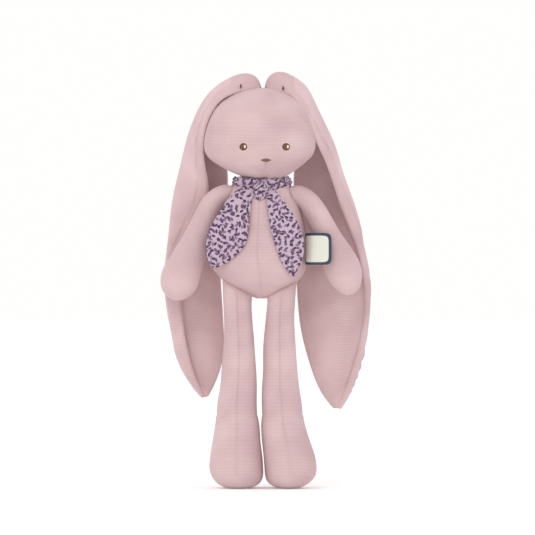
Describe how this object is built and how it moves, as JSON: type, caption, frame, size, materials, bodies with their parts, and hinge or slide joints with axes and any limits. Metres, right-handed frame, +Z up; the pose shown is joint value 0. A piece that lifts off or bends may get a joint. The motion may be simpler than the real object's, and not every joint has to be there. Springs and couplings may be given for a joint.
{
  "type": "stuffed toy rabbit",
  "caption": "Standing plush rabbit with long lop ears, slim floppy limbs and a printed neck scarf.",
  "frame": {"origin": "middle of the bounding box at floor level, under the soles", "axes": "+Z up, the face looks along -Y, +X is the toy's own left"},
  "size_m": [0.1748, 0.0762, 0.3501],
  "materials": {
    "pink_velour": "fine ribbed velour, soft nap",
    "ear_lining_velour": "fine ribbed velour, soft nap",
    "printed_cotton": "plain-weave cotton printed with small leaves",
    "brown_thread": "satin-stitch embroidery",
    "white_thread": "satin-stitch embroidery",
    "pink_thread": "single stitched line",
    "woven_label": "plain woven tab with a dark border",
    "polyester_filling": "loose polyester fibre"
  },
  "bodies": {
    "torso": {"torso_filling": "polyester_filling", "torso_front_left_panel": "pink_velour", "torso_front_right_panel": "pink_velour", "torso_back_panel": "pink_velour", "seat_panel": "pink_velour", "scarf_neckband": "printed_cotton", "scarf_knot": "printed_cotton"},
    "neck": {"neck_filling": "polyester_filling"},
    "head": {"head_filling": "polyester_filling", "face_panel": "pink_velour", "head_back_left_panel": "pink_velour", "head_back_right_panel": "pink_velour", "left_eye": "brown_thread", "right_eye": "brown_thread", "left_eye_glint": "white_thread", "right_eye_glint": "white_thread", "nose": "brown_thread", "mouth_stitch": "pink_thread"},
    "left_ear": {"left_ear_outer_panel": "pink_velour", "left_ear_inner_panel": "ear_lining_velour"},
    "right_ear": {"right_ear_outer_panel": "pink_velour", "right_ear_inner_panel": "ear_lining_velour"},
    "left_arm": {"left_arm_filling": "polyester_filling", "left_arm_front_panel": "pink_velour", "left_arm_back_panel": "pink_velour"},
    "right_arm": {"right_arm_filling": "polyester_filling", "right_arm_front_panel": "pink_velour", "right_arm_back_panel": "pink_velour"},
    "left_leg": {"left_leg_filling": "polyester_filling", "left_leg_outer_panel": "pink_velour", "left_leg_inner_panel": "pink_velour", "left_sole": "pink_velour"},
    "right_leg": {"right_leg_filling": "polyester_filling", "right_leg_outer_panel": "pink_velour", "right_leg_inner_panel": "pink_velour", "right_sole": "pink_velour"},
    "scarf_left_tail": {"scarf_left_tail": "printed_cotton"},
    "scarf_right_tail": {"scarf_right_tail": "printed_cotton"},
    "label": {"side_label": "woven_label"}
  },
  "joints": [
    {"name": "head_nod", "type": "hinge", "parent": "torso", "child": "neck", "pos_m": [-0.0038, 0, 0.2552], "axis": [1, 0, 0], "range_deg": [0, 10]},
    {"name": "head_turn", "type": "hinge", "parent": "neck", "child": "head", "pos_m": [-0.0038, 0, 0.2604], "axis": [0, 0, 1], "range_deg": [-8, 8]},
    {"name": "left_ear_lift", "type": "hinge", "parent": "head", "child": "left_ear", "pos_m": [0.0055, 0, 0.3406], "axis": [0, -1, 0], "range_deg": [0, 50]},
    {"name": "right_ear_lift", "type": "hinge", "parent": "head", "child": "right_ear", "pos_m": [-0.0055, 0, 0.3406], "axis": [0, 1, 0], "range_deg": [0, 50]},
    {"name": "left_arm_raise", "type": "hinge", "parent": "torso", "child": "left_arm", "pos_m": [0.029, -0.005, 0.254], "axis": [0, -1, 0], "range_deg": [0, 50]},
    {"name": "right_arm_raise", "type": "hinge", "parent": "torso", "child": "right_arm", "pos_m": [-0.0345, -0.005, 0.254], "axis": [0, 1, 0], "range_deg": [0, 50]},
    {"name": "left_leg_swing", "type": "hinge", "parent": "torso", "child": "left_leg", "pos_m": [0.0144, -0.006, 0.1628], "axis": [-1, 0, 0], "range_deg": [-5, 80]},
    {"name": "right_leg_swing", "type": "hinge", "parent": "torso", "child": "right_leg", "pos_m": [-0.023, -0.006, 0.1628], "axis": [-1, 0, 0], "range_deg": [-5, 80]},
    {"name": "left_tail_flip", "type": "hinge", "parent": "torso", "child": "scarf_left_tail", "pos_m": [0.008, -0.0278, 0.247], "axis": [-1, 0, 0], "range_deg": [0, 80]},
    {"name": "right_tail_flip", "type": "hinge", "parent": "torso", "child": "scarf_right_tail", "pos_m": [-0.016, -0.0278, 0.249], "axis": [-1, 0, 0], "range_deg": [0, 80]},
    {"name": "label_flap", "type": "hinge", "parent": "torso", "child": "label", "pos_m": [0.0346, -0.0106, 0.2018], "axis": [0, 0, -1], "range_deg": [0, 45]}
  ]
}
